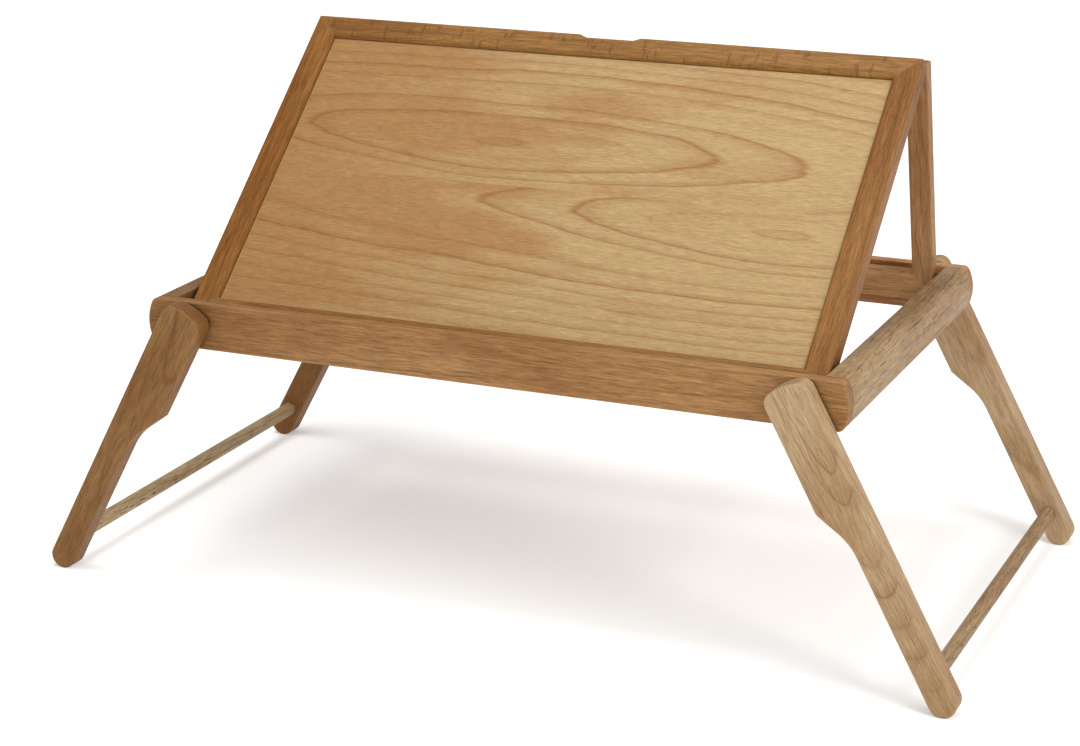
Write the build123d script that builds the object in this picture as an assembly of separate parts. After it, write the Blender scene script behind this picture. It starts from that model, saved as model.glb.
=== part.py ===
from build123d import *
from math import cos, radians, sin
import os

# Folding tray table with a tilting reading panel, in millimetres.
# +X is to the right of the person sitting at it, +Y away from that person, +Z up.
# The origin is on the floor, under the centre of the tray.

# --- Tray: four rails round an open middle -------------------------------------------
TRAY_LENGTH = 598.0        # along X, over the crowned rail ends
TRAY_DEPTH = 360.0         # along Y, over the outer faces of the long rails
TRAY_TOP = 243.5
RAIL_HEIGHT = 39.0
RAIL_THICK = 10.5
END_CROWN = 5.5            # how far the rail ends bulge at mid height
END_CORNER = 6.0
SIDE_RAIL_INNER = 276.6    # inner face of a side rail, from the middle
ARRIS = 1.2                # rounded edges of the tray and the support
CORNER_DOWEL_DIA = 6.0
CORNER_DOWEL_DEPTH = 20.0  # into the side rail
CORNER_DOWEL_RISE = 10.0   # above and below mid height
CORNER_DOWEL_INSET = 13.0  # from the side rail's inner face
CORNER_DOWEL_COVER = 3.5   # left in the long rail over the dowel's end

# --- Ledge along the back rail -------------------------------------------------------
LEDGE_HALF = 250.0
LEDGE_DEPTH = 10.0
LEDGE_BOTTOM = 207.0
LEDGE_TOP = 219.5
LEDGE_BEVEL = (1.2, 0.9)   # along Y and Z, at the top front edge
UPSTAND_DEPTH = 7.9        # raised back edge that the foot of the support meets
UPSTAND_RISE = 4.5
LEDGE_NOTCH_BACK = 5.0     # left standing behind each hinge notch
LEDGE_NOTCH_BOTTOM = 213.0
LEDGE_NOTCH_ROOM = 3.0     # beyond each end of a hinge

# --- Legs ----------------------------------------------------------------------------
PIVOT_X = 261.0
PIVOT_Z = 223.5
SPLAY = 28.2               # degrees outward from vertical when open
LEG_THICK = 18.5
LEG_ARRIS = 1.6
LEG_GAP = 3.0              # between leg and rail, filled by a washer at the pivot
LEG_HALF_WIDE = 18.3
LEG_CROWN_TOP = 19.4       # from the pivot up to the top of the leg
LEG_CROWN_SAG = 3.8
LEG_TOP_CORNER = 9.5
LEG_WIDE_END = 79.0        # from the pivot down to the end of the wide part
LEG_SLOPE_END = 108.5      # where the sloping step would meet the narrow part
LEG_NARROW = 22.0
LEG_STEP_OUTER = 4.0       # radius at the upper end of the step
LEG_STEP_INNER = 50.0      # radius at the lower end of the step
FOOT_CENTRE = 245.0        # from the pivot down to the centre of the foot's rounding

# --- Stretchers, pivots and stops of the legs ----------------------------------------
STRETCHER_DIA = 12.5
STRETCHER_DOWN = 225.5     # from the pivot, along the leg
STRETCHER_SOCKET = 10.0
BOLT_DIA = 8.0
BOLT_HEAD_DIA = 15.0
BOLT_HEAD_THICK = 3.0
BOLT_IN_LEG = 12.0
WASHER_DIA = 16.0
STOP_PIN_DIA = 6.0
STOP_PIN_RADIUS = 12.0     # from the pivot
STOP_PIN_IN_RAIL = 6.0
STOP_PIN_IN_LEG = 3.4
STOP_SLOT_DEPTH = 4.0
LEG_FOLD = 113.0           # degrees from open to folded
RUNNING = 0.05             # radial clearance of a hinge pin in its hole
CLEAR = 0.3                # between parts that pass each other
OVERCUT = 1.0              # how far a cut runs past the surface it opens

# --- Reading panel -------------------------------------------------------------------
PANEL_TILT = 40.5          # degrees from level when raised
PANEL_HALF = 273.4
PANEL_LENGTH = 322.5       # up the slope
PANEL_THICK = 17.2
PANEL_FRAME = 21.3
PANEL_ROUND = 4.0          # inner front edges of the frame
PANEL_ARRIS = 1.2
BOARD_RECESS = 4.0
BOARD_THICK = 6.0
BOARD_STEP = 1.2           # from the board's face down to the tongue round it
BOARD_MARGIN = 0.4         # between the board's face and the frame
BOARD_IN_GROOVE = 7.0
PANEL_PIVOT_Y = -148.4
PANEL_PIVOT_Z = 231.0
PANEL_PIVOT_UP = 13.2      # from the lower edge, up the slope
PANEL_PIVOT_IN = 6.4       # from the front face
PANEL_PIN_DIA = 5.0
PANEL_PIN_IN_RAIL = 9.0
PANEL_PIN_IN_STILE = 9.0
NOTCH_X = 3.0
NOTCH_FLAT = 42.0
NOTCH_MOUTH = 58.0
NOTCH_DEPTH = 3.6

# --- Folding support behind the panel ------------------------------------------------
SUPPORT_OPEN = 63.9        # degrees between panel and support when raised
SUPPORT_HALF = 273.0
SUPPORT_THICK = 12.5
STRUT_WIDE = 19.0
SUPPORT_FOOT_RAIL = 23.0
SUPPORT_TOP_RAIL = 22.0
SUPPORT_TOP_RAIL_DOWN = 4.0   # from the hinge line to the top rail
SUPPORT_ABOVE_HINGE = 7.0     # rounded strut ends above the hinge line
SUPPORT_BELOW_HINGE = 212.7   # from the hinge line to the foot
SUPPORT_CROWN = 4.5           # rise of the rounded strut ends
SUPPORT_ROUND = 3.5
FOLD_GAP = 2.8                # between panel and support when folded together

# --- Butt hinges between panel and support -------------------------------------------
HINGE_X = 150.0
HINGE_LENGTH = 50.0
HINGE_KNUCKLE = 16.0          # length of the middle knuckle
HINGE_BARREL_DIA = 5.0
HINGE_PIN_DIA = 2.4
LEAF_WIDE = 17.0
LEAF_THICK = 1.2
SCREW_DIA = 3.0
SCREW_HEAD_DIA = 5.6
SCREW_HEAD_THICK = 1.0
SCREW_LENGTH = 9.0
SCREW_SPACING = 30.0
SCREW_FROM_BARREL = 10.5
SCREW_CROSS_LONG = 3.4        # cross recess in the screw heads
SCREW_CROSS_WIDE = 0.8
SCREW_CROSS_DEEP = 1.2

HALF_DEPTH = TRAY_DEPTH / 2
RAIL_INNER_Y = HALF_DEPTH - RAIL_THICK
RAIL_MID_Z = TRAY_TOP - RAIL_HEIGHT / 2
LEG_INNER_Y = HALF_DEPTH + LEG_GAP
NARROW_EDGE = LEG_HALF_WIDE - LEG_NARROW
STRETCHER_V = LEG_HALF_WIDE - LEG_NARROW / 2
HINGE_OFFSET = FOLD_GAP / 2
SLOT_HALF = STOP_PIN_DIA / 2 + CLEAR

os.makedirs("parts", exist_ok=True)


def save(name, *solids):
    """Write one node; identical loose pieces share a node as separate solids."""
    shape = solids[0] if len(solids) == 1 else Compound(children=list(solids))
    export_step(shape, f"parts/{name}.step")


def prism(points, height):
    """Straight prism on the XY plane through the given corners."""
    return extrude(make_face(Polyline(*points, close=True)), height)


def cyl_y(x, z, y_from, y_to, dia):
    """Cylinder along Y between two planes."""
    middle = (y_from + y_to) / 2
    return Pos(x, middle, z) * Rot(90, 0, 0) * Cylinder(dia / 2, abs(y_to - y_from))


def cyl_x(y, z, x_from, x_to, dia):
    """Cylinder along X between two planes."""
    middle = (x_from + x_to) / 2
    return Pos(middle, y, z) * Rot(0, 90, 0) * Cylinder(dia / 2, abs(x_to - x_from))


def mirrored_x(shape):
    return mirror(shape, Plane.YZ)


def mirrored_y(shape):
    return mirror(shape, Plane.XZ)


# --- Tray rails ----------------------------------------------------------------------

def crowned_outline(inner_x, outer_x):
    """Section in XZ from a flat inner edge to a crowned outer edge, as a face in XY."""
    low = -RAIL_HEIGHT / 2
    high = RAIL_HEIGHT / 2
    shoulder = outer_x - END_CROWN
    outline = [
        Line((inner_x, high), (inner_x, low)),
        Line((inner_x, low), (shoulder, low)),
        ThreePointArc((shoulder, low), (outer_x, 0), (shoulder, high)),
        Line((shoulder, high), (inner_x, high)),
    ]
    face = make_face(outline)
    corners = face.vertices().filter_by(lambda v: abs(v.X - shoulder) < 0.01)
    return fillet(corners, END_CORNER)


def long_rail():
    """Front rail: both ends crowned, outer face on the front of the tray."""
    half = crowned_outline(0, TRAY_LENGTH / 2)
    bar = extrude(half, RAIL_THICK) + extrude(mirror(half, Plane.YZ), RAIL_THICK)
    rims = bar.faces().filter_by(Axis.Z).edges()
    bar = fillet(rims, ARRIS)
    return Pos(0, -RAIL_INNER_Y, RAIL_MID_Z) * Rot(90, 0, 0) * bar


def side_rail():
    """Right side rail between the long rails, crowned to match their ends."""
    length = 2 * RAIL_INNER_Y
    bar = extrude(crowned_outline(SIDE_RAIL_INNER, TRAY_LENGTH / 2), length)
    inner = bar.edges().filter_by(Axis.Z).filter_by(lambda e: abs(e.center().X - SIDE_RAIL_INNER) < 0.01)
    bar = fillet(inner, ARRIS)
    return Pos(0, RAIL_INNER_Y, RAIL_MID_Z) * Rot(90, 0, 0) * bar


def corner_dowels():
    """Two glued dowels at each corner, from the long rail into the side rail."""
    x = SIDE_RAIL_INNER + CORNER_DOWEL_INSET
    y_to = RAIL_INNER_Y - CORNER_DOWEL_DEPTH
    y_from = HALF_DEPTH - CORNER_DOWEL_COVER
    pieces = []
    for rise in (-CORNER_DOWEL_RISE, CORNER_DOWEL_RISE):
        for side_x in (-x, x):
            for end in (-1, 1):
                z = RAIL_MID_Z + rise
                pieces.append(cyl_y(side_x, z, end * y_from, end * y_to, CORNER_DOWEL_DIA))
    return pieces


def back_ledge():
    """L-shaped ledge on the back rail, notched where the hinges come down."""
    front = RAIL_INNER_Y - LEDGE_DEPTH
    step = RAIL_INNER_Y - UPSTAND_DEPTH
    along, down = LEDGE_BEVEL
    section = [
        (front, LEDGE_BOTTOM),
        (RAIL_INNER_Y, LEDGE_BOTTOM),
        (RAIL_INNER_Y, LEDGE_TOP + UPSTAND_RISE),
        (step, LEDGE_TOP + UPSTAND_RISE),
        (step, LEDGE_TOP),
        (front + along, LEDGE_TOP),
        (front, LEDGE_TOP - down),
    ]
    bar = Pos(-LEDGE_HALF, 0, 0) * Plane.YZ.location * prism(section, 2 * LEDGE_HALF)
    notch = Box(HINGE_LENGTH + 2 * LEDGE_NOTCH_ROOM, LEDGE_DEPTH, LEDGE_TOP,
                align=(Align.CENTER, Align.MAX, Align.MIN))
    for x in (-HINGE_X, HINGE_X):
        bar -= Pos(x, RAIL_INNER_Y - LEDGE_NOTCH_BACK, LEDGE_NOTCH_BOTTOM) * notch
    return bar


# --- Legs ----------------------------------------------------------------------------

def leg_outline():
    """Right leg in its own frame: x outward across the leg, y up, pivot at the origin."""
    wide = LEG_HALF_WIDE
    shoulder = LEG_CROWN_TOP - LEG_CROWN_SAG
    toe = NARROW_EDGE + LEG_NARROW / 2
    outline = [
        ThreePointArc((-wide, shoulder), (0, LEG_CROWN_TOP), (wide, shoulder)),
        Line((wide, shoulder), (wide, -FOOT_CENTRE)),
        ThreePointArc(
            (wide, -FOOT_CENTRE),
            (toe, -FOOT_CENTRE - LEG_NARROW / 2),
            (NARROW_EDGE, -FOOT_CENTRE),
        ),
        Line((NARROW_EDGE, -FOOT_CENTRE), (NARROW_EDGE, -LEG_SLOPE_END)),
        Line((NARROW_EDGE, -LEG_SLOPE_END), (-wide, -LEG_WIDE_END)),
        Line((-wide, -LEG_WIDE_END), (-wide, shoulder)),
    ]
    face = make_face(outline)
    for height, radius in (
        (shoulder, LEG_TOP_CORNER),
        (-LEG_WIDE_END, LEG_STEP_OUTER),
        (-LEG_SLOPE_END, LEG_STEP_INNER),
    ):
        face = fillet(face.vertices().filter_by(lambda v: abs(v.Y - height) < 0.01), radius)
    return face


def stop_slot():
    """Curved blind slot that the rail's stop pin runs in, from open to folded."""
    start = 90 - SPLAY
    arc = CenterArc((0, 0), STOP_PIN_RADIUS, start, LEG_FOLD)
    return extrude(SlotArc(arc, 2 * SLOT_HALF).face(), STOP_SLOT_DEPTH)


def right_front_leg():
    """Leg against the front rail, standing open."""
    leg = extrude(leg_outline(), LEG_THICK)
    leg = fillet(leg.faces().filter_by(Axis.Z).edges(), LEG_ARRIS)
    leg -= Cylinder(BOLT_DIA / 2 + RUNNING, 2 * BOLT_IN_LEG + 2 * CLEAR)
    leg -= Pos(STRETCHER_V, -STRETCHER_DOWN, 0) * Cylinder(STRETCHER_DIA / 2, 2 * STRETCHER_SOCKET)
    leg -= stop_slot()
    stand = Pos(PIVOT_X, -LEG_INNER_Y, PIVOT_Z) * Rot(0, -SPLAY, 0) * Rot(90, 0, 0)
    return stand * leg


def right_stretcher():
    """Dowel between the right legs, its ends in their blind sockets."""
    slope = radians(SPLAY)
    x = PIVOT_X + STRETCHER_DOWN * sin(slope) + STRETCHER_V * cos(slope)
    z = PIVOT_Z - STRETCHER_DOWN * cos(slope) + STRETCHER_V * sin(slope)
    reach = LEG_INNER_Y + STRETCHER_SOCKET
    return cyl_y(x, z, -reach, reach, STRETCHER_DIA)


def front_pivot_bolt():
    """Bolt from inside the front rail into the right leg, its head let in flush."""
    head = cyl_y(PIVOT_X, PIVOT_Z, -RAIL_INNER_Y, -RAIL_INNER_Y - BOLT_HEAD_THICK, BOLT_HEAD_DIA)
    return head + cyl_y(PIVOT_X, PIVOT_Z, -RAIL_INNER_Y, -LEG_INNER_Y - BOLT_IN_LEG, BOLT_DIA)


def front_washer():
    ring = cyl_y(PIVOT_X, PIVOT_Z, -HALF_DEPTH, -LEG_INNER_Y, WASHER_DIA)
    return ring - cyl_y(PIVOT_X, PIVOT_Z, OVERCUT - HALF_DEPTH, -LEG_INNER_Y - OVERCUT, BOLT_DIA)


def front_stop_pin():
    z = PIVOT_Z + STOP_PIN_RADIUS
    reach = LEG_INNER_Y + STOP_PIN_IN_LEG
    return cyl_y(PIVOT_X, z, -HALF_DEPTH + STOP_PIN_IN_RAIL, -reach, STOP_PIN_DIA)


def at_four_legs(piece):
    """The right front piece, repeated at the other three pivots."""
    right = [piece, mirrored_y(piece)]
    return right + [mirrored_x(p) for p in right]


# --- Reading panel: x across, y up the slope, z out of the front face -----------------

PANEL_PLACE = (
    Pos(0, PANEL_PIVOT_Y, PANEL_PIVOT_Z)
    * Rot(PANEL_TILT, 0, 0)
    * Pos(0, -PANEL_PIVOT_UP, PANEL_PIVOT_IN)
)


def rounded_ring(half, bottom, top, inner, thick, radius, arris):
    """Flat frame with the opening `inner` = (half width, bottom, top), front at z = 0."""
    inner_half, inner_bottom, inner_top = inner
    outer = Pos(0, (bottom + top) / 2, -thick / 2) * Box(2 * half, top - bottom, thick)
    outer = fillet(outer.edges(), arris)
    height = inner_top - inner_bottom
    hole = Pos(0, (inner_bottom + inner_top) / 2, -thick / 2) * Box(2 * inner_half, height, 2 * thick)
    ring = outer - hole
    rim = ring.edges().filter_by(
        lambda e: abs(e.center().Z) < 0.01
        and abs(e.center().X) < inner_half + 0.01
        and inner_bottom - 0.01 < e.center().Y < inner_top + 0.01
    )
    return fillet(rim, radius)


def piece_of(ring, corners, thick):
    """The part of a frame inside the given corners, which are its mitre lines."""
    return ring & (Pos(0, 0, -1.5 * thick) * prism(corners, 2 * thick))


def panel_pieces():
    """Two stiles, two rails and the board, in the panel's own frame."""
    half = PANEL_HALF
    wide = PANEL_FRAME
    length = PANEL_LENGTH
    inner = (half - wide, wide, length - wide)
    ring = rounded_ring(half, 0, length, inner, PANEL_THICK, PANEL_ROUND, PANEL_ARRIS)
    tongue = Box(2 * (half - wide + BOARD_IN_GROOVE), length - 2 * (wide - BOARD_IN_GROOVE),
                 BOARD_THICK - BOARD_STEP)
    tongue = Pos(0, length / 2, -BOARD_RECESS - (BOARD_THICK + BOARD_STEP) / 2) * tongue
    field = Box(2 * (half - wide - BOARD_MARGIN), length - 2 * (wide + BOARD_MARGIN), BOARD_THICK)
    field = Pos(0, length / 2, -BOARD_RECESS - BOARD_THICK / 2) * field
    ring -= tongue
    mouth = NOTCH_MOUTH / 2
    flat = NOTCH_FLAT / 2
    notch = prism(
        [(-mouth, OVERCUT), (-mouth, 0), (-flat, -NOTCH_DEPTH), (flat, -NOTCH_DEPTH), (mouth, 0),
         (mouth, OVERCUT)],
        3 * PANEL_THICK,
    )
    ring -= Pos(NOTCH_X, length, -2 * PANEL_THICK) * notch
    for x in (-half, half):
        ring -= cyl_x(PANEL_PIVOT_UP, -PANEL_PIVOT_IN, x - PANEL_PIN_IN_STILE - CLEAR,
                      x + PANEL_PIN_IN_STILE + CLEAR, PANEL_PIN_DIA + 2 * RUNNING)
    corners = {
        "panel_left_stile": [(-half, 0), (wide - half, wide), (wide - half, length - wide), (-half, length)],
        "panel_right_stile": [(half, 0), (half, length), (half - wide, length - wide), (half - wide, wide)],
        "panel_bottom_rail": [(-half, 0), (half, 0), (half - wide, wide), (wide - half, wide)],
        "panel_top_rail": [(-half, length), (wide - half, length - wide), (half - wide, length - wide),
                           (half, length)],
    }
    pieces = {name: piece_of(ring, outline, PANEL_THICK) for name, outline in corners.items()}
    pieces["panel_board"] = tongue + field
    return pieces


def panel_pivot_pin():
    """Pin from the right side rail into the panel's stile."""
    x_from = PANEL_HALF - PANEL_PIN_IN_STILE
    x_to = SIDE_RAIL_INNER + PANEL_PIN_IN_RAIL
    return cyl_x(PANEL_PIVOT_Y, PANEL_PIVOT_Z, x_from, x_to, PANEL_PIN_DIA)


# --- Support: x across, y up the struts, z out of the front face, hinge line at y = 0 --

HINGE_IN_PANEL = (PANEL_LENGTH, -PANEL_THICK - HINGE_OFFSET)
SUPPORT_PLACE = (
    PANEL_PLACE
    * Pos(0, *HINGE_IN_PANEL)
    * Rot(SUPPORT_OPEN, 0, 0)
    * Pos(0, 0, -HINGE_OFFSET)
)


def round_ended_slab(half, bottom, top, thick):
    """Slab with its front at z = 0 and a rounded upper end."""
    crest = top - SUPPORT_CROWN
    outline = [
        Line((crest, 0), (bottom, 0)),
        Line((bottom, 0), (bottom, -thick)),
        Line((bottom, -thick), (crest, -thick)),
        ThreePointArc((crest, -thick), (top, -thick / 2), (crest, 0)),
    ]
    return Pos(-half, 0, 0) * Plane.YZ.location * extrude(make_face(outline), 2 * half)


def support_pieces():
    """Two struts and two rails, in the support's own frame."""
    half = SUPPORT_HALF
    thick = SUPPORT_THICK
    foot = -SUPPORT_BELOW_HINGE
    top = SUPPORT_ABOVE_HINGE
    seat = foot + SUPPORT_FOOT_RAIL
    beyond = top + 2 * STRUT_WIDE
    inner_half = half - STRUT_WIDE
    inner = (inner_half, seat, beyond - STRUT_WIDE)
    ring = rounded_ring(half, foot, beyond, inner, thick, SUPPORT_ROUND, ARRIS)
    ring &= round_ended_slab(half + OVERCUT, foot - OVERCUT, top, thick)
    mitre_end = seat - STRUT_WIDE
    strut = [(half, mitre_end), (half, beyond), (inner_half, beyond), (inner_half, seat)]
    foot_rail = [(-half, foot), (half, foot), (half, mitre_end), (inner_half, seat),
                 (-inner_half, seat), (-half, mitre_end)]
    rail_top = -SUPPORT_TOP_RAIL_DOWN
    rail = Pos(0, rail_top - SUPPORT_TOP_RAIL / 2, -thick / 2) * Box(
        2 * inner_half, SUPPORT_TOP_RAIL, thick
    )
    rail = fillet(rail.edges().filter_by(Axis.X), ARRIS)
    right_strut = piece_of(ring, strut, thick)
    return {
        "support_right_strut": right_strut,
        "support_left_strut": mirrored_x(right_strut),
        "support_foot_rail": piece_of(ring, foot_rail, thick),
        "support_top_rail": rail,
    }


# --- Hinges: hinge line along X through the origin, leaf running down the -y side ------

def barrel(x_from, x_to, dia):
    return cyl_x(0, 0, x_from, x_to, dia)


def leaf(face_z, knuckles):
    """Hinge leaf let into a surface at height face_z, with its knuckles bored for the pin."""
    sign = 1 if face_z > 0 else -1
    depth = face_z + sign * LEAF_THICK / 2
    plate = Pos(0, -LEAF_WIDE / 2, depth) * Box(HINGE_LENGTH, LEAF_WIDE, LEAF_THICK)
    shell = plate
    for x_from, x_to in knuckles:
        shell += barrel(x_from, x_to, HINGE_BARREL_DIA)
    return shell


def hinge_knuckles():
    """Spans along X of the middle knuckle and the two outer ones."""
    end = HINGE_LENGTH / 2
    mid = HINGE_KNUCKLE / 2
    middle = [(-mid, mid)]
    outer = [(-end, -mid - CLEAR), (mid + CLEAR, end)]
    return middle, outer


def gap_between(knuckles):
    """Room round the other leaf's knuckles."""
    room = HINGE_BARREL_DIA + 2 * CLEAR
    rooms = [barrel(a - CLEAR, b + CLEAR, room) for a, b in knuckles]
    return rooms[0] if len(rooms) == 1 else rooms[0] + rooms[1]


def panel_leaf():
    """Leaf on the back of the panel's top rail, which lies on the +z side."""
    middle, outer = hinge_knuckles()
    shell = leaf(HINGE_OFFSET, outer) - gap_between(middle)
    return shell - barrel(-HINGE_LENGTH, HINGE_LENGTH, HINGE_PIN_DIA)


def support_leaf():
    """Leaf on the front of the support's top rail, which lies on the -z side."""
    middle, outer = hinge_knuckles()
    shell = leaf(-HINGE_OFFSET, middle) - gap_between(outer)
    return shell - barrel(-HINGE_LENGTH, HINGE_LENGTH, HINGE_PIN_DIA + 2 * RUNNING)


def screw_blank():
    """Countersunk screw without its recess: the face of the head at z = 0, the shank along +z."""
    head = Pos(0, 0, SCREW_HEAD_THICK / 2) * Cone(
        SCREW_HEAD_DIA / 2, SCREW_DIA / 2, SCREW_HEAD_THICK
    )
    return head + Pos(0, 0, SCREW_LENGTH / 2) * Cylinder(SCREW_DIA / 2, SCREW_LENGTH)


def screw():
    """Countersunk screw with a cross recess."""
    body = screw_blank()
    for turn in (0, 90):
        body -= Rot(0, 0, turn) * Box(SCREW_CROSS_LONG, SCREW_CROSS_WIDE, 2 * SCREW_CROSS_DEEP)
    return body


def in_leaf(piece, sign):
    """A screw or its blank at both holes of a leaf, flush with it, the shanks pointing to sign * z."""
    turned = piece if sign > 0 else Rot(180, 0, 0) * piece
    return [
        Pos(x, -SCREW_FROM_BARREL, sign * HINGE_OFFSET) * turned
        for x in (-SCREW_SPACING / 2, SCREW_SPACING / 2)
    ]


# --- Assembly ------------------------------------------------------------------------

panel_pin = panel_pivot_pin()
panel_pins = [panel_pin, mirrored_x(panel_pin)]
bolts = at_four_legs(front_pivot_bolt())
washers = at_four_legs(front_washer())
stop_pins = at_four_legs(front_stop_pin())
dowels = corner_dowels()

front_rail = long_rail()
back_rail = mirrored_y(front_rail)
right_side = side_rail()
left_side = mirrored_x(right_side)
for let_in in bolts + stop_pins + dowels:
    if let_in.center().Y < 0:
        front_rail -= let_in
    else:
        back_rail -= let_in
for let_in in dowels + panel_pins:
    if let_in.center().X < 0:
        left_side -= let_in
    else:
        right_side -= let_in

save("front_rail", front_rail)
save("back_rail", back_rail)
save("left_side_rail", left_side)
save("right_side_rail", right_side)
save("back_ledge", back_ledge())
save("corner_dowels", *dowels)
save("leg_pivot_bolts", *bolts)
save("leg_washers", *washers)
save("leg_stop_pins", *stop_pins)
save("panel_pivot_pins", *panel_pins)

leg = right_front_leg()
stretcher = right_stretcher()
save("right_front_leg", leg)
save("right_back_leg", mirrored_y(leg))
save("right_stretcher", stretcher)
save("left_front_leg", mirrored_x(leg))
save("left_back_leg", mirrored_x(mirrored_y(leg)))
save("left_stretcher", mirrored_x(stretcher))

panel = panel_pieces()
support = support_pieces()
hinge_in_panel = Pos(0, *HINGE_IN_PANEL)
hinge_in_support = Pos(0, 0, HINGE_OFFSET)
panel_leaves = []
support_leaves = []
hinge_pins = []
panel_screws = []
support_screws = []
for x in (-HINGE_X, HINGE_X):
    on_panel = hinge_in_panel * Pos(x, 0, 0)
    on_support = hinge_in_support * Pos(x, 0, 0)
    panel_blanks = in_leaf(screw_blank(), 1)
    support_blanks = in_leaf(screw_blank(), -1)
    panel_plate = panel_leaf()
    support_plate = support_leaf()
    for part in panel_blanks:
        panel_plate -= part
    for part in support_blanks:
        support_plate -= part
    panel_leaves.append(on_panel * panel_plate)
    support_leaves.append(on_support * support_plate)
    hinge_pins.append(on_panel * barrel(-HINGE_LENGTH / 2, HINGE_LENGTH / 2, HINGE_PIN_DIA))
    panel_screws += [on_panel * part for part in in_leaf(screw(), 1)]
    support_screws += [on_support * part for part in in_leaf(screw(), -1)]
    room = barrel(-HINGE_LENGTH / 2 - CLEAR, HINGE_LENGTH / 2 + CLEAR, HINGE_BARREL_DIA + 4 * CLEAR)
    panel["panel_top_rail"] -= on_panel * room
    support["support_top_rail"] -= on_support * room
    for part in [panel_leaf()] + panel_blanks:
        panel["panel_top_rail"] -= on_panel * part
    for part in [support_leaf()] + support_blanks:
        support["support_top_rail"] -= on_support * part

for name, part in panel.items():
    save(name, PANEL_PLACE * part)
save("hinge_leaves_panel", *[PANEL_PLACE * part for part in panel_leaves])
save("hinge_pins", *[PANEL_PLACE * part for part in hinge_pins])
save("hinge_screws_panel", *[PANEL_PLACE * part for part in panel_screws])

for name, part in support.items():
    save(name, SUPPORT_PLACE * part)
save("hinge_leaves_support", *[SUPPORT_PLACE * part for part in support_leaves])
save("hinge_screws_support", *[SUPPORT_PLACE * part for part in support_screws])
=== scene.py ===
import math

import bpy
from mathutils import Matrix, Vector


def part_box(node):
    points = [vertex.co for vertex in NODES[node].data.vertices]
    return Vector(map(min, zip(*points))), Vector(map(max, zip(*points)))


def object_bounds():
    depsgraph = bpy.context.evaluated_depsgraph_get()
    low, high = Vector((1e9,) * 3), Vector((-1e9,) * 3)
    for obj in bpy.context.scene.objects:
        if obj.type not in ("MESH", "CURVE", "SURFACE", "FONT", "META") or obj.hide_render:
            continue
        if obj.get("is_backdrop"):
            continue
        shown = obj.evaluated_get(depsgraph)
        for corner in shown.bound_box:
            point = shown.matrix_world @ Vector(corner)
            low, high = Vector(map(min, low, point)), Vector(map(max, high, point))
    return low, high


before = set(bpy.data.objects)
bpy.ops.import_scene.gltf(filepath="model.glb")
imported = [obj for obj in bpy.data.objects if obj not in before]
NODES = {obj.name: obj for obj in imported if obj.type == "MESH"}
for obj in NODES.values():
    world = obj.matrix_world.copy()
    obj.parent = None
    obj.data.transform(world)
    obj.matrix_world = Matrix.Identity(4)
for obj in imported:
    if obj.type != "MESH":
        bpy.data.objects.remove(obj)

# A folding tray table of oiled beech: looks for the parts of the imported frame. Metres, +Z up,
# +X to the user's right, +Y away from the user, origin on the floor under the tray's centre.

PANEL_TILT = math.radians(40.5)       # the panel's slope at rest
SUPPORT_SLOPE = math.radians(104.4)   # the struts' direction at rest, from +Y
LEG_SPLAY = math.radians(28.2)        # the legs' lean at rest, from vertical

# --- Camera ---------------------------------------------------------------------------
CAMERA_PLACE = (0.80598, -1.90750, 0.81115)
CAMERA_YAW = math.radians(23.59)
CAMERA_PITCH = math.radians(-17.38)
CAMERA_ROLL = math.radians(-0.18)
SENSOR_WIDTH = 36.0
LENS = 85.56

# --- Light and floor ------------------------------------------------------------------
FLOOR_HALF = 9.0
FLOOR_COLOUR = (0.90, 0.90, 0.90)
WORLD_COLOUR = (1.0, 1.0, 1.0)
WORLD_STRENGTH = 0.50
FLOOR_GLOW_NEAR = 0.33                # keeps the paper near white
FLOOR_GLOW_FAR = 0.62
GLOW_FROM = 0.35                      # metres from the middle
GLOW_TO = 2.2
LIGHTS = {                            # place, aim, size, watts, colour
    "key_softbox": ((1.7, -0.9, 1.3), (0.1, 0.0, 0.25), 0.9, 17.0, (1.0, 0.98, 0.95)),
    "top_softbox": ((-0.1, -0.2, 2.5), (0.0, 0.0, 0.25), 1.2, 26.0, (1.0, 1.0, 1.0)),
    "front_fill": ((-0.6, -2.8, 1.5), (0.0, 0.0, 0.25), 1.8, 8.0, (0.98, 0.99, 1.0)),
}


def bounds_list():
    """The lowest and highest corner of everything built so far, as plain lists."""
    bpy.context.view_layer.update()
    return [list(corner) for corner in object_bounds()]


# --- Node helpers ---------------------------------------------------------------------

MIX_AMOUNT, MIX_FIRST, MIX_SECOND = 0, 6, 7   # a Mix node's sockets when it mixes colours
MIX_RESULT = 2
VALUE = 1                                     # a vector node's socket for a single number


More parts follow.
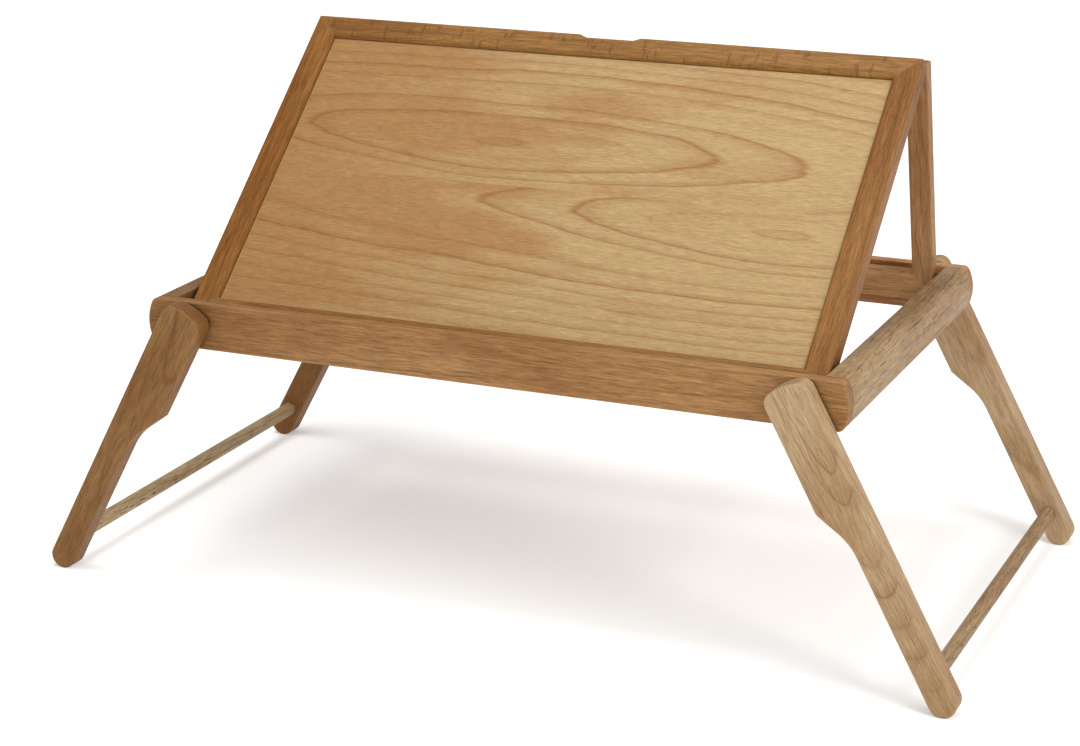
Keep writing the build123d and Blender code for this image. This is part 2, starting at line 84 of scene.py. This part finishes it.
class Shader:
    """A material under construction: makes nodes and links sockets."""

    def __init__(self, name):
        self.material = bpy.data.materials.new(name)
        self.material.use_nodes = True
        self.tree = self.material.node_tree
        self.tree.nodes.clear()

    def node(self, kind, inputs=None, **settings):
        made = self.tree.nodes.new(kind)
        for key, value in settings.items():
            setattr(made, key, value)
        for key, value in (inputs or {}).items():
            self.feed(made.inputs[key], value)
        return made

    def feed(self, socket, value):
        if isinstance(value, bpy.types.NodeSocket):
            self.tree.links.new(value, socket)
        else:
            socket.default_value = value

    def math(self, operation, *values, clamp=False):
        made = self.node("ShaderNodeMath", operation=operation, use_clamp=clamp)
        for socket, value in zip(made.inputs, values):
            self.feed(socket, value)
        return made.outputs[0]

    def vector(self, operation, *values, output=0):
        made = self.node("ShaderNodeVectorMath", operation=operation)
        for socket, value in zip(made.inputs, values):
            self.feed(socket, value)
        return made.outputs[output]

    def noise(self, place, scales, seed, detail=2.0, roughness=0.5):
        """Noise over a place stretched by the three scales, in cycles per metre."""
        stretched = self.vector("MULTIPLY", place, scales)
        moved = self.vector("ADD", stretched, seed)
        return self.node(
            "ShaderNodeTexNoise",
            {"Vector": moved, "Scale": 1.0, "Detail": detail, "Roughness": roughness},
        )

    def ramp(self, value, *stops):
        """An eased curve through (position, brightness) stops."""
        made = self.node("ShaderNodeValToRGB", {"Fac": value})
        band = made.color_ramp
        band.interpolation = "EASE"
        while len(band.elements) < len(stops):
            band.elements.new(0.5)
        for element, (place, bright) in zip(band.elements, stops):
            element.position = place
            element.color = (bright, bright, bright, 1.0)
        return made.outputs["Color"]

    def mix(self, amount, first, second, blend="MIX"):
        """The first colour turned into the second one by an amount from 0 to 1."""
        made = self.node("ShaderNodeMix", data_type="RGBA", blend_type=blend)
        self.feed(made.inputs[MIX_AMOUNT], amount)
        self.feed(made.inputs[MIX_FIRST], first)
        self.feed(made.inputs[MIX_SECOND], second)
        return made.outputs[MIX_RESULT]

    def tint(self, colour, tint):
        """A colour multiplied by another one, channel by channel."""
        return self.mix(1.0, colour, (*tint, 1.0), "MULTIPLY")

    def finish(self, shader):
        self.node("ShaderNodeOutputMaterial", {"Surface": shader.outputs[0]})
        return self.material


def srgb(red, green, blue):
    """An 8-bit display colour as a linear RGBA tuple."""
    linear = []
    for value in (red, green, blue):
        share = value / 255
        linear.append(share / 12.92 if share <= 0.04045 else ((share + 0.055) / 1.055) ** 2.4)
    return (*linear, 1.0)


# --- Wood -----------------------------------------------------------------------------

class Wood:
    """What one cut of beech looks like. Lengths in metres."""

    def __init__(self, light, warm, line, ring, lines, grain, pores, streak, warp,
                 dash=0.0045, patches=0.6):
        self.light = light        # colour between the growth rings
        self.warm = warm          # the redder patches
        self.line = line          # growth rings
        self.ring = ring          # spacing of the rings
        self.lines = lines        # how strongly the rings show
        self.grain = grain        # fine uneven brightness along the fibres
        self.pores = pores        # how dark the short pores are
        self.streak = streak      # how dark the long fine streaks are
        self.warp = warp          # how far the rings wander
        self.dash = dash          # how long the fibres' marks are
        self.patches = patches    # how much warm colour there is


BOARD = Wood(
    light=srgb(175, 147, 102), warm=srgb(151, 101, 52), line=srgb(138, 86, 42),
    ring=0.0110, lines=0.85, grain=1.15, pores=0.12, streak=0.20, warp=0.016,
    patches=0.62,
)
FRAME = Wood(
    light=srgb(162, 119, 76), warm=srgb(134, 86, 46), line=srgb(92, 54, 26),
    ring=0.0042, lines=0.40, grain=2.20, pores=0.25, streak=0.60, warp=0.004, dash=0.009,
)
PALE = Wood(
    light=srgb(168, 141, 106), warm=srgb(152, 117, 80), line=srgb(88, 62, 38),
    ring=0.0036, lines=0.50, grain=2.20, pores=0.80, streak=0.60, warp=0.003, dash=0.010,
)
LEG = Wood(
    light=srgb(176, 147, 110), warm=srgb(148, 110, 70), line=srgb(130, 90, 50),
    ring=0.0052, lines=0.75, grain=1.80, pores=0.10, streak=0.50, warp=0.007, dash=0.007,
    patches=0.75,
)
BEECH_IOR = 1.47
SHEEN = 0.27                          # an oiled surface mirrors little
SHEEN_TINT = (1.0, 0.82, 0.60, 1.0)   # and the oil warms what it mirrors
OIL_COAT = 0.03
OIL_COAT_ROUGHNESS = 0.38
PORE_LENGTH = 0.005
RELIEF = 0.0002                       # depth of the pores and the open grain
RING_WANDER = 2.2                     # times a wood's warp, for the rings' slow bends
RING_UNEVENNESS = 1.1                 # rings closer together in some years, in rings
END_DARKENING = 0.5                   # end grain drinks more oil
CREVICE_REACH = 0.006                 # painted shade darkens the wood this far from an inner corner
CREVICE_DARKENING = 0.65
EDGE_REACH = 0.0035                   # edges are painted paler this far in: rubbed wear and a painted highlight
EDGE_WEAR_AND_HIGHLIGHT = 0.55


def grain_place(shader, node, along, facing):
    """Place within a piece, from its middle: x along the grain, y across it, z out of its face.

    Also how squarely the surface faces along the grain (end grain) and across it (narrow faces).
    """
    x = Vector(along).normalized()
    z = Vector(facing).normalized()
    y = z.cross(x).normalized()
    turn = Matrix((x, y, z))
    low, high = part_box(node)
    middle = turn @ ((low + high) / 2)
    coordinates = shader.node("ShaderNodeTexCoord")
    mapped = shader.node(
        "ShaderNodeMapping",
        {"Vector": coordinates.outputs["Object"], "Rotation": turn.to_euler("XYZ"),
         "Location": -middle},
    )
    normal = coordinates.outputs["Normal"]
    on_end = shader.math("ABSOLUTE", shader.vector("DOT_PRODUCT", normal, x, output=VALUE))
    on_side = shader.math("ABSOLUTE", shader.vector("DOT_PRODUCT", normal, y, output=VALUE))
    return mapped.outputs["Vector"], on_end, on_side


def growth_rings(shader, place, wood, pith, tilt, seed):
    """How strongly a growth ring shows at a place, from 0 to 1.

    The rings lie around the tree's heart, with the wander of a real trunk. Each one darkens
    towards its late wood, and some years left a stronger line than others.
    """
    across, deep = pith
    wander = shader.noise(place, (1.7, 5.0, 5.0), seed, detail=2.5, roughness=0.45)
    shift = shader.vector("SUBTRACT", wander.outputs["Color"], (0.5, 0.5, 0.5))
    bend = RING_WANDER * wood.warp
    moved = shader.vector("MULTIPLY", shift, (0.0, bend, bend))
    centred = shader.vector("ADD", shader.vector("ADD", place, moved), (0.0, -across, -deep))
    parts = shader.node("ShaderNodeSeparateXYZ", {"Vector": centred})
    side = parts.outputs["Y"]
    depth = shader.math("MULTIPLY_ADD", parts.outputs["X"], tilt, parts.outputs["Z"])
    square = shader.math("MULTIPLY_ADD", depth, depth, shader.math("MULTIPLY", side, side))
    even_rings = shader.math("DIVIDE", shader.math("SQRT", square), wood.ring)
    uneven = shader.noise(place, (4.0, 28.0, 28.0), seed, detail=3.0)
    rings = shader.math("MULTIPLY_ADD", uneven.outputs["Fac"], RING_UNEVENNESS, even_rings)

    part_of_ring = shader.math("FRACT", rings)
    late_wood = shader.ramp(part_of_ring, (0.0, 0.45), (0.08, 0.08), (0.50, 0.03), (0.84, 0.42),
                            (0.94, 1.0), (1.0, 0.45))
    each_ring = shader.node("ShaderNodeTexWhiteNoise", {"W": shader.math("FLOOR", rings)},
                            noise_dimensions="1D")
    strength = shader.math("POWER", each_ring.outputs["Value"], 1.3)
    strength = shader.math("MULTIPLY_ADD", strength, 0.90, 0.10)
    return shader.math("MULTIPLY", late_wood, strength)


def warm_patches(shader, place, along, seed, fade):
    """How much warmer the colour is at a place; fade adds to it along the grain, per metre."""
    patch = shader.noise(place, (5.5, 20.0, 20.0), seed, detail=3.0, roughness=0.55)
    mask = shader.ramp(patch.outputs["Fac"], (0.40, 0.0), (0.66, 1.0))
    if not fade:
        return mask
    return shader.math("ADD", mask, shader.math("MULTIPLY", along, fade), clamp=True)


def wear_and_painted_light(shader, colour, wood, on_end):
    """Dark end grain, painted shade in inner corners, and edges painted paler: rubbed wear and a
    painted highlight.
    """
    end_mask = shader.ramp(on_end, (0.75, 0.0), (0.95, 1.0))
    colour = shader.mix(shader.math("MULTIPLY", end_mask, END_DARKENING), colour, wood.line)
    # painted shade: the wood darkens near inner corners and between parts, where shade falls
    crevice = shader.node("ShaderNodeAmbientOcclusion", {"Distance": CREVICE_REACH}, samples=4)
    crevice_mask = shader.ramp(crevice.outputs["AO"], (0.25, 1.0), (0.75, 0.0))
    crevice_shade = tuple(0.35 * channel for channel in wood.line[:3]) + (1.0,)
    colour = shader.mix(shader.math("MULTIPLY", crevice_mask, CREVICE_DARKENING), colour, crevice_shade)
    # edges painted paler: partly rubbed wear, partly a painted highlight on the rounding
    edge = shader.node("ShaderNodeAmbientOcclusion", {"Distance": EDGE_REACH}, samples=4,
                       inside=True)
    edge_mask = shader.ramp(edge.outputs["AO"], (0.50, 1.0), (0.92, 0.0))
    return shader.mix(shader.math("MULTIPLY", edge_mask, EDGE_WEAR_AND_HIGHLIGHT), colour, wood.light)


def wood_material(name, node, wood, along, facing, seed, pith=(0.0, -0.045), tilt=0.06,
                  tint=None, fade=0.0, rays=0.0, stave=None, sheen=SHEEN, side=None,
                  pore_length=PORE_LENGTH):
    """Beech, cut so that the tree's heart lies at pith (across, deep) and climbs by tilt.

    fade warms the colour along the grain, per metre. rays is how dark the short flecks across
    the grain are. stave is where a second stave is glued on (across), and how far away in the
    same tree it was cut (along, across, deep). side tints the narrow faces, which are cut the
    other way and show more pores.
    """
    shader = Shader(name)
    offset = Vector((17.3, 5.1, 9.7)) * (seed + 1)
    spot, on_end, on_side = grain_place(shader, node, along, facing)
    where = shader.node("ShaderNodeSeparateXYZ", {"Vector": spot})
    place = spot
    if stave:
        seam, apart = stave
        beyond = shader.math("GREATER_THAN", where.outputs["Y"], seam)
        place = shader.vector("ADD", spot, shader.vector("MULTIPLY", beyond, apart))

    ring_mask = growth_rings(shader, place, wood, pith, tilt, offset)
    warm_mask = warm_patches(shader, place, where.outputs["X"], offset, fade)
    streak = shader.noise(place, (7.0, 300.0, 300.0), offset, detail=3.0, roughness=0.6)
    streak_mask = shader.ramp(streak.outputs["Fac"], (0.32, 0.0), (0.70, 1.0))
    ripple = shader.noise(place, (0.5 / wood.dash, 950.0, 950.0), offset, detail=3.0,
                          roughness=0.75)
    pore = shader.noise(place, (0.5 / pore_length, 900.0, 900.0), offset, detail=1.0)
    pore_mask = shader.ramp(pore.outputs["Fac"], (0.62, 0.0), (0.70, 1.0))
    side_mask = shader.ramp(on_side, (0.70, 0.0), (0.95, 1.0))

    colour = shader.mix(shader.math("MULTIPLY", warm_mask, wood.patches), wood.light, wood.warm)
    colour = shader.mix(shader.math("MULTIPLY", ring_mask, wood.lines), colour, wood.line)
    dark_streak = shader.math("MULTIPLY", streak_mask, 0.40 * wood.streak)
    colour = shader.mix(dark_streak, colour, wood.line)
    bright = shader.math("MULTIPLY_ADD", ripple.outputs["Fac"], wood.grain, 1.0 - 0.5 * wood.grain)
    even = shader.node("ShaderNodeCombineColor", {"Red": bright, "Green": bright, "Blue": bright})
    colour = shader.mix(1.0, colour, even.outputs["Color"], "MULTIPLY")
    pore_strength = shader.math("MULTIPLY_ADD", side_mask, 0.45, 0.75 * wood.pores)
    colour = shader.mix(shader.math("MULTIPLY", pore_mask, pore_strength), colour, wood.line)
    if rays:
        ray = shader.noise(place, (260.0, 60.0, 90.0), offset, detail=2.0, roughness=0.6)
        ray_mask = shader.ramp(ray.outputs["Fac"], (0.57, 0.0), (0.66, 1.0))
        colour = shader.mix(shader.math("MULTIPLY", ray_mask, rays), colour, wood.line)
    colour = wear_and_painted_light(shader, colour, wood, on_end)
    if tint:
        colour = shader.tint(colour, tint)
    if side:
        colour = shader.mix(side_mask, colour, shader.tint(colour, side))

    open_pores = shader.math("MULTIPLY", pore_mask, -1.0)
    height = shader.math("MULTIPLY_ADD", ripple.outputs["Fac"], 0.9, open_pores)
    height = shader.math("MULTIPLY_ADD", ring_mask, -0.35, height)
    bump = shader.node("ShaderNodeBump", {"Strength": 0.4, "Distance": RELIEF, "Height": height})
    rough = shader.math("MULTIPLY_ADD", pore_mask, 0.12, 0.46)
    rough = shader.math("MULTIPLY_ADD", streak_mask, 0.10, rough)
    surface = shader.node(
        "ShaderNodeBsdfPrincipled",
        {"Base Color": colour, "Roughness": rough, "Normal": bump.outputs["Normal"],
         "IOR": BEECH_IOR, "Specular IOR Level": sheen, "Specular Tint": SHEEN_TINT,
         "Coat Weight": OIL_COAT, "Coat Roughness": OIL_COAT_ROUGHNESS},
    )
    return shader.finish(surface)


# --- Metal ----------------------------------------------------------------------------

BRUSHING_DEPTH = 0.0001


def metal_material(name, colour, tarnish, roughness):
    """Plain rolled metal: fine brushing along X, with duller patches."""
    shader = Shader(name)
    place = shader.node("ShaderNodeTexCoord").outputs["Object"]
    brushed = shader.noise(place, (60.0, 2600.0, 2600.0), (3.0, 7.0, 1.0), detail=2.0)
    patch = shader.noise(place, (120.0, 120.0, 120.0), (1.0, 2.0, 3.0), detail=3.0)
    patch_mask = shader.ramp(patch.outputs["Fac"], (0.4, 0.0), (0.7, 1.0))
    base = shader.mix(shader.math("MULTIPLY", patch_mask, 0.6), colour, tarnish)
    rough = shader.math("MULTIPLY_ADD", patch_mask, 0.18,
                        shader.math("MULTIPLY_ADD", brushed.outputs["Fac"], 0.12, roughness))
    bump = shader.node("ShaderNodeBump", {"Strength": 0.2, "Distance": BRUSHING_DEPTH,
                                          "Height": brushed.outputs["Fac"]})
    surface = shader.node(
        "ShaderNodeBsdfPrincipled",
        {"Base Color": base, "Metallic": 1.0, "Roughness": rough,
         "Normal": bump.outputs["Normal"]},
    )
    return shader.finish(surface)


# --- Finishing the CAD nodes ----------------------------------------------------------

def dress(node, material):
    """Give a carried-over CAD node its material."""
    mesh = NODES[node].data
    mesh.materials.clear()
    mesh.materials.append(material)


def slope(angle):
    """Unit vector in the YZ plane at an angle from +Y."""
    return (0.0, math.cos(angle), math.sin(angle))


ACROSS = (1.0, 0.0, 0.0)
LEFT = (-1.0, 0.0, 0.0)
BACK = (0.0, 1.0, 0.0)
FRONT = (0.0, -1.0, 0.0)
UP = (0.0, 0.0, 1.0)
UP_PANEL = slope(PANEL_TILT)
OUT_OF_PANEL = slope(PANEL_TILT + math.pi / 2)
UP_SUPPORT = slope(SUPPORT_SLOPE)
OUT_OF_SUPPORT = slope(SUPPORT_SLOPE + math.pi / 2)
DOWN_RIGHT_LEG = (math.sin(LEG_SPLAY), 0.0, -math.cos(LEG_SPLAY))
DOWN_LEFT_LEG = (-math.sin(LEG_SPLAY), 0.0, -math.cos(LEG_SPLAY))

FRONT_TINT = (1.02, 1.05, 1.02)
# painted light: lifts the back rail, whose inner face lies in shade
BACK_PAINTED_LIGHT = (1.40, 1.42, 1.52)
LEFT_SIDE_TINT = (0.62, 0.45, 0.28)
RIGHT_SIDE_TINT = (1.0, 0.98, 0.92)
LEFT_LEG_TINT = (0.62, 0.47, 0.30)
RIGHT_FRONT_LEG_TINT = (1.04, 1.09, 1.17)
RIGHT_BACK_LEG_TINT = (1.14, 1.25, 1.45)
LEFT_STRETCHER_TINT = (1.08, 1.17, 1.22)
RIGHT_STRETCHER_FLANK = (0.92, 0.92, 0.90)
LEFT_STILE_TINT = (0.78, 0.66, 0.43)
RIGHT_STILE_TINT = (0.79, 0.69, 0.48)
TOP_TINT = (0.80, 0.76, 0.54)
SUPPORT_TINT = (1.07, 1.16, 1.24)
BOARD_SEAM = (0.001, (0.265, -0.065, 0.0))

# Each piece of wood: the wood, along its grain, out of its shown face, and its own cut.
WOOD_PIECES = {
    "front_rail": (FRAME, ACROSS, FRONT,
                   dict(pith=(0.02, -0.07), tilt=0.015, fade=-1.0, tint=FRONT_TINT)),
    "back_rail": (FRAME, ACROSS, FRONT, dict(pith=(-0.01, -0.05), tilt=0.02, tint=BACK_PAINTED_LIGHT)),
    "left_side_rail": (PALE, BACK, LEFT, dict(pith=(0.0, -0.03), tilt=0.02, tint=LEFT_SIDE_TINT)),
    "right_side_rail": (PALE, BACK, ACROSS,
                        dict(pith=(0.0, -0.03), tilt=0.02, tint=RIGHT_SIDE_TINT, rays=0.30,
                             pore_length=0.012)),
    "back_ledge": (FRAME, ACROSS, UP, dict(pith=(0.03, -0.04), tilt=0.01)),
    "corner_dowels": (PALE, BACK, UP, {}),
    "left_front_leg": (LEG, DOWN_LEFT_LEG, FRONT,
                       dict(pith=(0.01, -0.03), tilt=0.07, fade=2.0, tint=LEFT_LEG_TINT)),
    "left_back_leg": (LEG, DOWN_LEFT_LEG, FRONT,
                      dict(pith=(0.0, -0.03), tilt=0.05, tint=LEFT_LEG_TINT)),
    "left_stretcher": (PALE, BACK, UP,
                       dict(pith=(0.0, -0.02), tilt=0.02, tint=LEFT_STRETCHER_TINT)),
    "right_front_leg": (LEG, DOWN_RIGHT_LEG, FRONT,
                        dict(pith=(0.006, -0.016), tilt=0.2, fade=6.0,
                             tint=RIGHT_FRONT_LEG_TINT)),
    # fade=-2.5 paints light on this leg's lower part, which lies in shade: paler towards the foot
    "right_back_leg": (LEG, DOWN_RIGHT_LEG, FRONT,
                       dict(pith=(0.01, -0.04), tilt=0.05, fade=-2.5, tint=RIGHT_BACK_LEG_TINT)),
    "right_stretcher": (PALE, BACK, UP,
                        dict(pith=(0.0, -0.02), tilt=0.02, side=RIGHT_STRETCHER_FLANK)),
    "panel_left_stile": (FRAME, UP_PANEL, OUT_OF_PANEL,
                         dict(pith=(0.03, -0.05), tilt=0.02, tint=LEFT_STILE_TINT, sheen=0.12)),
    "panel_right_stile": (FRAME, UP_PANEL, OUT_OF_PANEL,
                          dict(pith=(0.02, -0.05), tilt=0.02, fade=3.5, tint=RIGHT_STILE_TINT,
                               sheen=0.15)),
    "panel_top_rail": (FRAME, ACROSS, OUT_OF_PANEL,
                       dict(pith=(0.03, -0.04), tilt=0.02, tint=TOP_TINT, rays=0.45, sheen=0.2)),
    "panel_bottom_rail": (FRAME, ACROSS, OUT_OF_PANEL,
                          dict(pith=(0.0, -0.05), tilt=0.02, tint=TOP_TINT)),
    # fade=-4.5 paints shade on the board: darker and warmer towards the left, where less light
    # falls
    "panel_board": (BOARD, ACROSS, OUT_OF_PANEL,
                    dict(pith=(-0.015, 0.0285), tilt=0.13, fade=-4.5, stave=BOARD_SEAM)),
    "support_left_strut": (FRAME, UP_SUPPORT, OUT_OF_SUPPORT,
                           dict(pith=(0.02, -0.05), tint=SUPPORT_TINT)),
    "support_right_strut": (FRAME, UP_SUPPORT, OUT_OF_SUPPORT,
                            dict(pith=(0.02, -0.05), tint=SUPPORT_TINT)),
    "support_top_rail": (FRAME, ACROSS, OUT_OF_SUPPORT,
                         dict(pith=(0.02, -0.05), tilt=0.01, tint=SUPPORT_TINT)),
    "support_foot_rail": (FRAME, ACROSS, OUT_OF_SUPPORT,
                          dict(pith=(0.02, -0.05), tilt=0.01, tint=SUPPORT_TINT)),
}
METAL_PIECES = {                      # colour, tarnish, roughness, pieces
    "bolt_steel": (srgb(190, 190, 188), srgb(150, 150, 150), 0.28,
                   ("leg_pivot_bolts", "leg_washers", "leg_stop_pins", "panel_pivot_pins")),
    "hinge_brass": (srgb(214, 176, 96), srgb(150, 112, 56), 0.26,
                    ("hinge_leaves_panel", "hinge_leaves_support", "hinge_pins",
                     "hinge_screws_panel", "hinge_screws_support")),
}


def dress_all():
    """Give every piece its material; each piece of wood is cut from another place in the tree."""
    for seed, (node, (wood, along, facing, cut)) in enumerate(WOOD_PIECES.items()):
        dress(node, wood_material(f"{node}_wood", node, wood, along, facing, seed, **cut))
    for name, (colour, tarnish, roughness, nodes) in METAL_PIECES.items():
        material = metal_material(f"{name}_metal", colour, tarnish, roughness)
        for node in nodes:
            dress(node, material)


# --- Studio ---------------------------------------------------------------------------

def add_camera():
    """A camera in front of the table's right-hand corner, looking down at it."""
    forward = Vector((
        -math.sin(CAMERA_YAW) * math.cos(CAMERA_PITCH),
        math.cos(CAMERA_YAW) * math.cos(CAMERA_PITCH),
        math.sin(CAMERA_PITCH),
    ))
    level = Vector((math.cos(CAMERA_YAW), math.sin(CAMERA_YAW), 0.0))
    above = level.cross(forward)
    right = level * math.cos(CAMERA_ROLL) + above * math.sin(CAMERA_ROLL)
    up = above * math.cos(CAMERA_ROLL) - level * math.sin(CAMERA_ROLL)
    turn = Matrix((right, up, -forward)).transposed().to_4x4()
    data = bpy.data.cameras.new("camera")
    data.sensor_fit = "HORIZONTAL"
    data.sensor_width = SENSOR_WIDTH
    data.lens = LENS
    camera = bpy.data.objects.new("camera", data)
    camera.matrix_world = Matrix.Translation(CAMERA_PLACE) @ turn
    bpy.context.scene.collection.objects.link(camera)
    bpy.context.scene.camera = camera


def add_lights():
    """Large soft disks of light, each aimed at the table."""
    for name, (place, aim, size, watts, colour) in LIGHTS.items():
        data = bpy.data.lights.new(name, "AREA")
        data.shape = "DISK"
        data.size = size
        data.energy = watts
        data.color = colour
        light = bpy.data.objects.new(name, data)
        light.location = place
        light.rotation_euler = (Vector(aim) - Vector(place)).to_track_quat("-Z", "Y").to_euler()
        bpy.context.scene.collection.objects.link(light)


def add_world():
    """An even white surround."""
    world = bpy.data.worlds.new("studio")
    world.use_nodes = True
    background = world.node_tree.nodes["Background"]
    background.inputs["Color"].default_value = (*WORLD_COLOUR, 1.0)
    background.inputs["Strength"].default_value = WORLD_STRENGTH
    bpy.context.scene.world = world
    bpy.context.scene.view_settings.view_transform = "Standard"


def add_floor():
    """White paper that brightens away from the table, as a lit sweep does."""
    corners = [(-FLOOR_HALF, -FLOOR_HALF), (FLOOR_HALF, -FLOOR_HALF),
               (FLOOR_HALF, FLOOR_HALF), (-FLOOR_HALF, FLOOR_HALF)]
    mesh = bpy.data.meshes.new("floor")
    mesh.from_pydata([(x, y, 0.0) for x, y in corners], [], [(0, 1, 2, 3)])
    floor = bpy.data.objects.new("floor", mesh)
    bpy.context.scene.collection.objects.link(floor)
    shader = Shader("floor_paper")
    place = shader.node("ShaderNodeTexCoord").outputs["Object"]
    away = shader.vector("LENGTH", place, output=VALUE)
    glow = shader.node("ShaderNodeMapRange", {
        "Value": away, "From Min": GLOW_FROM, "From Max": GLOW_TO,
        "To Min": FLOOR_GLOW_NEAR, "To Max": FLOOR_GLOW_FAR,
    }).outputs[0]
    lit = shader.node("ShaderNodeEmission", {"Color": (*FLOOR_COLOUR, 1.0), "Strength": glow})
    paper = shader.node("ShaderNodeBsdfDiffuse", {"Color": (*FLOOR_COLOUR, 1.0), "Roughness": 0.6})
    surface = shader.node("ShaderNodeAddShader", {0: lit.outputs[0], 1: paper.outputs[0]})
    mesh.materials.append(shader.finish(surface))
    floor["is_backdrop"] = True


cad_box = bounds_list()
dress_all()
add_camera()
add_lights()
add_world()
add_floor()

{"cad": cad_box, "visual": bounds_list()}
